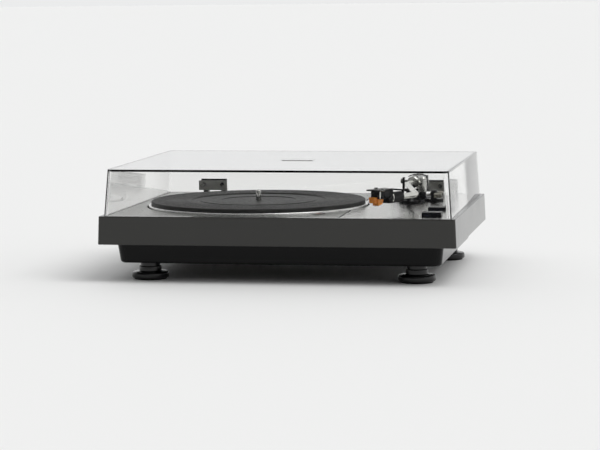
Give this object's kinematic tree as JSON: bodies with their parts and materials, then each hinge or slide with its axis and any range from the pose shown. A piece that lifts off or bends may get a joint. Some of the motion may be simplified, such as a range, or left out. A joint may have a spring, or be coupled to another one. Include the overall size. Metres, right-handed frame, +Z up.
{
  "type": "turntable record player",
  "caption": "Record player with round platter and mat, S-shaped tonearm, two flat keys, grey plinth on round feet and a clear hinged dust cover.",
  "frame": {"origin": "on the floor, under the middle of the whole object's box", "axes": "+Z up, +X to the right, front faces -Y"},
  "size_m": [0.458, 0.372, 0.1444],
  "materials": {
    "plinth_grey": "dark grey satin moulding",
    "deck_aluminium": "fine brushed, clear anodised",
    "black_plastic": "fine moulded texture",
    "black_rubber": "matt",
    "mat_rubber": "fine ribbed rubber",
    "steel": "satin",
    "brass": "turned",
    "gold_brass": "gold plated",
    "copper": "enamelled wire",
    "iron_core": "laminated",
    "board_green": "solder resist",
    "dark_metal": "satin black",
    "platter_aluminium": "turned rim",
    "arm_aluminium": "satin silver",
    "clear_cover": "clear polished acrylic",
    "badge_metal": "blank satin plate",
    "red_lens": "dark red lens",
    "key_black": "smooth blue-black",
    "orange_plastic": "translucent orange"
  },
  "bodies": {
    "root": {"plinth": "plinth_grey", "deck_panel_left": "deck_aluminium", "deck_panel_right": "deck_aluminium", "platter_well": "black_plastic", "strobe_window": "red_lens", "strobe_lamp": "red_lens", "chassis_tub": "black_plastic", "feet": "black_plastic", "foot_pads": "black_rubber", "foot_screws": "steel", "motor_board": "board_green", "stator_coils": "copper", "spindle_bearing": "brass", "thrust_pad": "black_plastic", "transformer_core": "iron_core", "transformer_winding": "copper", "power_board": "board_green", "board_capacitors": "black_plastic", "board_standoffs": "brass", "control_board": "board_green", "key_switches": "black_plastic", "back_panel": "black_plastic", "phono_sockets": "gold_brass", "ground_terminal": "steel", "mains_inlet": "black_plastic", "hinge_blocks": "black_plastic", "hinge_pins": "steel", "hinge_screws": "steel", "arm_base": "dark_metal", "arm_pillar": "steel", "arm_rest": "black_plastic", "cue_cylinder": "dark_metal", "lever_block": "dark_metal"},
    "platter": {"platter": "platter_aluminium", "platter_mat": "mat_rubber", "spindle": "steel", "rotor_magnet": "iron_core"},
    "cover": {"dust_cover": "clear_cover", "cover_badge": "badge_metal", "hinge_plates": "steel", "hinge_leaves": "black_plastic", "cover_screws": "steel"},
    "start_key": {"start_key": "key_black"},
    "speed_key": {"speed_key": "key_black"},
    "cue_lever": {"cue_lever": "arm_aluminium"},
    "cue_lift": {"cue_lift": "dark_metal"},
    "antiskate_dial": {"antiskate_dial": "arm_aluminium"},
    "arm_yoke": {"arm_yoke": "dark_metal", "swing_shaft": "steel", "pivot_screws": "dark_metal"},
    "arm": {"pivot_barrel": "arm_aluminium", "arm_tube": "arm_aluminium", "arm_socket": "arm_aluminium", "headshell": "black_plastic", "cartridge": "black_plastic", "stylus": "orange_plastic", "cartridge_screws": "steel", "finger_lift": "steel"},
    "counterweight": {"counterweight": "steel"},
    "lock_collar": {"lock_collar": "dark_metal"}
  },
  "joints": [
    {"name": "platter_spin", "type": "hinge", "parent": "root", "child": "platter", "pos_m": [-0.054, -0.015, 0.087], "axis": [0, 0, -1], "continuous": true},
    {"name": "cover_hinge", "type": "hinge", "parent": "root", "child": "cover", "pos_m": [0, 0.18, 0.092], "axis": [-1, 0, 0], "range_deg": [0, 62]},
    {"name": "arm_swing", "type": "hinge", "parent": "root", "child": "arm_yoke", "pos_m": [0.143, 0.099, 0.1085], "axis": [0, 0, -1], "range_deg": [0, 43]},
    {"name": "arm_tilt", "type": "hinge", "parent": "arm_yoke", "child": "arm", "pos_m": [0.143, 0.099, 0.1085], "axis": [-0.9962, 0.0872, 0], "range_deg": [0, 4.5]},
    {"name": "counterweight_turn", "type": "hinge", "parent": "arm", "child": "counterweight", "pos_m": [0.14474, 0.11892, 0.10878], "axis": [0.0871, 0.9961, 0.014], "continuous": true},
    {"name": "collar_turn", "type": "hinge", "parent": "arm", "child": "lock_collar", "pos_m": [0.14375, -0.10988, 0.10559], "axis": [0.5736, 0.8191, 0.0121], "range_deg": [0, 30]},
    {"name": "antiskate_turn", "type": "hinge", "parent": "root", "child": "antiskate_dial", "pos_m": [0.15566, 0.07621, 0.1], "axis": [0, 0, 1], "range_deg": [0, 270]},
    {"name": "cue_turn", "type": "hinge", "parent": "root", "child": "cue_lever", "pos_m": [0.178, 0.056, 0.0955], "axis": [-1, 0, 0], "range_deg": [0, 60]},
    {"name": "cue_slide", "type": "slide", "parent": "root", "child": "cue_lift", "axis": [0, 0, 1], "range_m": [0, 0.0036], "stiffness_N_per_m": 2, "springref_m": 0.0146},
    {"name": "start_press", "type": "slide", "parent": "root", "child": "start_key", "axis": [0, 0, -1], "range_m": [0, 0.002], "stiffness_N_per_m": 300, "springref_m": -0.0015},
    {"name": "speed_press", "type": "slide", "parent": "root", "child": "speed_key", "axis": [0, 0, -1], "range_m": [0, 0.002], "stiffness_N_per_m": 300, "springref_m": -0.0015}
  ],
  "couplings": [
    {"joint": "cue_slide", "follows": "cue_turn", "m_per_rad": 0.0034}
  ]
}
